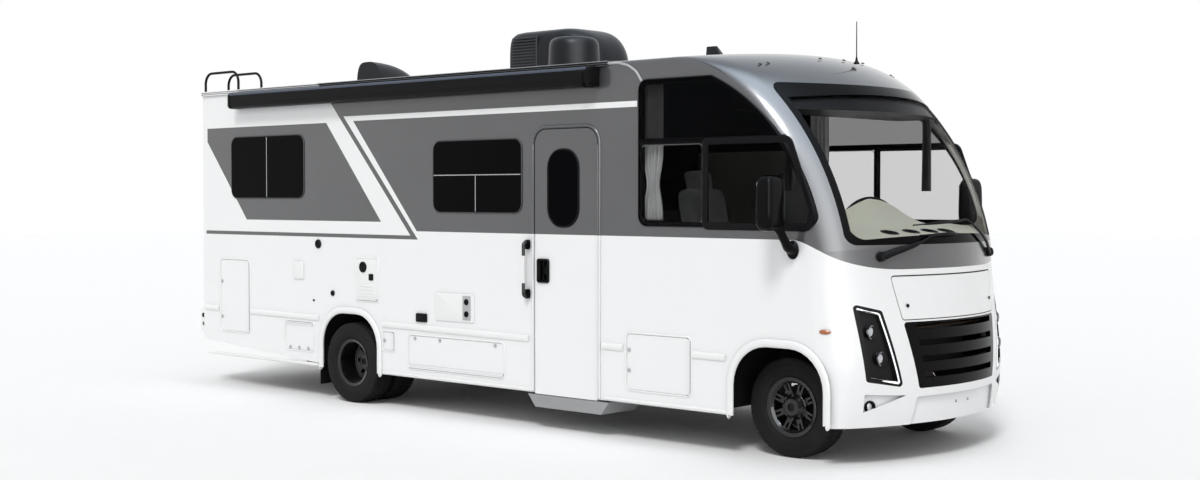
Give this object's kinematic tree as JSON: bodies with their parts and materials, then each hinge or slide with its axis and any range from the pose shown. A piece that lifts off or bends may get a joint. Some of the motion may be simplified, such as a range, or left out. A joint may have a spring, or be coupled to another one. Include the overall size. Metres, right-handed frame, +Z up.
{
  "type": "motorhome",
  "caption": "Integrated motorhome with a moulded cab front, side entry door, storage hatches, air conditioner and awning, on a ladder chassis with steered front wheels and twin rear wheels.",
  "frame": {"origin": "midway between nose, tail and sides, on the ground", "axes": "+X to the nose, +Y to the driver's side (left), +Z up"},
  "size_m": [8.2705, 3.05, 3.4244],
  "materials": {
    "white_panel": "gloss white gelcoat",
    "grey_panel": "dark grey gelcoat",
    "black_plastic": "satin black moulding",
    "black_metal": "satin black paint",
    "frame_steel": "black chassis paint",
    "cast_iron": "bare cast iron",
    "tyre": "matt rubber",
    "rim": "gloss black",
    "glass": "tinted glass",
    "dark_glass": "black privacy glass",
    "lamp": "clear lamp over a dark housing",
    "red_lamp": "red lens",
    "beige": "soft beige moulding",
    "seat": "dark upholstery",
    "bench": "pale upholstery",
    "cloth": "pleated cloth",
    "floor": "wood floor",
    "steel_pipe": "plain steel"
  },
  "bodies": {
    "coach": {"right_wall": "white_panel", "left_wall": "white_panel", "rear_wall": "white_panel", "roof_panel": "white_panel", "front_cap": "white_panel", "house_floor": "floor", "windscreen": "glass", "window_glass": "dark_glass", "window_frames": "black_plastic", "grille": "black_plastic", "headlamps": "lamp", "tail_lamps": "red_lamp", "awning_cassette": "black_metal", "air_conditioner": "black_plastic", "roof_vents": "black_plastic", "ladder": "black_metal", "rear_bumper": "white_panel", "hitch_receiver": "frame_steel", "assist_handle": "white_panel", "mirrors": "black_plastic", "wipers": "black_metal", "dash": "beige", "cab_seats": "seat", "bench": "bench", "overhead_locker": "grey_panel", "curtains": "cloth", "engine": "cast_iron", "tanks": "black_plastic", "exhaust": "steel_pipe", "rear_axle": "cast_iron", "front_axle": "cast_iron", "springs": "frame_steel", "frame_rails": "frame_steel", "wheel_liners": "black_plastic", "storage_bays_right": "black_plastic", "storage_bays_left": "black_plastic", "entry_steps": "white_panel"},
    "knuckle_left": {"knuckle_left": "cast_iron"},
    "knuckle_right": {"knuckle_right": "cast_iron"},
    "entry_door": {"entry_door": "white_panel", "entry_door_glass": "dark_glass"},
    "hood": {"hood_panel": "white_panel"},
    "steering_wheel": {"steering_wheel": "black_plastic"},
    "wheel_front_left": {"tyre_front_left": "tyre", "rim_front_left": "rim"},
    "wheels_rear_left": {"tyres_rear_left": "tyre", "rims_rear_left": "rim"},
    "wheel_front_right": {"tyre_front_right": "tyre", "rim_front_right": "rim"},
    "wheels_rear_right": {"tyres_rear_right": "tyre", "rims_rear_right": "rim"},
    "tall_hatch_right": {"tall_hatch_right": "white_panel"},
    "low_hatch_right": {"low_hatch_right": "white_panel"},
    "long_hatch_right": {"long_hatch_right": "white_panel"},
    "front_hatch_right": {"front_hatch_right": "white_panel"},
    "fuel_door": {"fuel_door": "white_panel"},
    "heater_door": {"heater_door": "white_panel"},
    "tall_hatch_left": {"tall_hatch_left": "white_panel"},
    "long_hatch_left": {"long_hatch_left": "white_panel"},
    "front_hatch_left": {"front_hatch_left": "white_panel"}
  },
  "joints": [
    {"name": "steer_left", "type": "hinge", "parent": "coach", "child": "knuckle_left", "pos_m": [3.2455, 0.79, 0.372], "axis": [0, 0, 1], "range_deg": [-35, 35]},
    {"name": "steer_right", "type": "hinge", "parent": "coach", "child": "knuckle_right", "pos_m": [3.2455, -0.79, 0.372], "axis": [0, 0, 1], "range_deg": [-35, 35]},
    {"name": "steering_wheel_turn", "type": "hinge", "parent": "coach", "child": "steering_wheel", "pos_m": [3.1755, 0.62, 1.56], "axis": [-0.6428, 0, 0.766], "range_deg": [-490, 490]},
    {"name": "roll_front_left", "type": "hinge", "parent": "knuckle_left", "child": "wheel_front_left", "pos_m": [3.2455, 0.88, 0.372], "axis": [0, 1, 0], "continuous": true},
    {"name": "roll_front_right", "type": "hinge", "parent": "knuckle_right", "child": "wheel_front_right", "pos_m": [3.2455, -0.88, 0.372], "axis": [0, 1, 0], "continuous": true},
    {"name": "roll_rear_left", "type": "hinge", "parent": "coach", "child": "wheels_rear_left", "pos_m": [-1.5805, 0.95, 0.372], "axis": [0, 1, 0], "continuous": true},
    {"name": "roll_rear_right", "type": "hinge", "parent": "coach", "child": "wheels_rear_right", "pos_m": [-1.5805, -0.95, 0.372], "axis": [0, 1, 0], "continuous": true},
    {"name": "entry_door_hinge", "type": "hinge", "parent": "coach", "child": "entry_door", "pos_m": [1.5255, -1.2, 1.3], "axis": [0, 0, 1], "range_deg": [0, 110]},
    {"name": "tall_hatch_right_hinge", "type": "hinge", "parent": "coach", "child": "tall_hatch_right", "pos_m": [-3.1945, -1.2, 0.92], "axis": [0, 0, 1], "range_deg": [0, 110]},
    {"name": "front_hatch_right_hinge", "type": "hinge", "parent": "coach", "child": "front_hatch_right", "pos_m": [2.4655, -1.2, 0.6285], "axis": [0, 0, 1], "range_deg": [0, 110]},
    {"name": "fuel_door_hinge", "type": "hinge", "parent": "coach", "child": "fuel_door", "pos_m": [-0.9755, -1.2, 0.6075], "axis": [0, 0, 1], "range_deg": [0, 110]},
    {"name": "tall_hatch_left_hinge", "type": "hinge", "parent": "coach", "child": "tall_hatch_left", "pos_m": [-3.1945, 1.2, 0.92], "axis": [0, 0, -1], "range_deg": [0, 110]},
    {"name": "front_hatch_left_hinge", "type": "hinge", "parent": "coach", "child": "front_hatch_left", "pos_m": [2.4655, 1.2, 0.6285], "axis": [0, 0, -1], "range_deg": [0, 110]},
    {"name": "low_hatch_right_hinge", "type": "hinge", "parent": "coach", "child": "low_hatch_right", "pos_m": [-2.3735, -1.2, 0.706], "axis": [-1, 0, 0], "range_deg": [0, 100]},
    {"name": "long_hatch_right_hinge", "type": "hinge", "parent": "coach", "child": "long_hatch_right", "pos_m": [-0.1595, -1.2, 0.393], "axis": [1, 0, 0], "range_deg": [0, 150]},
    {"name": "heater_door_hinge", "type": "hinge", "parent": "coach", "child": "heater_door", "pos_m": [-1.3545, -1.2, 0.969], "axis": [1, 0, 0], "range_deg": [0, 150]},
    {"name": "long_hatch_left_hinge", "type": "hinge", "parent": "coach", "child": "long_hatch_left", "pos_m": [-0.1595, 1.2, 0.393], "axis": [-1, 0, 0], "range_deg": [0, 150]},
    {"name": "hood_hinge", "type": "hinge", "parent": "coach", "child": "hood", "pos_m": [3.9605, 0, 1.5], "axis": [0, -1, 0], "range_deg": [0, 50]}
  ],
  "couplings": [
    {"joint": "steer_right", "follows": "steer_left", "ratio": 1},
    {"joint": "steering_wheel_turn", "follows": "steer_left", "ratio": 14}
  ]
}
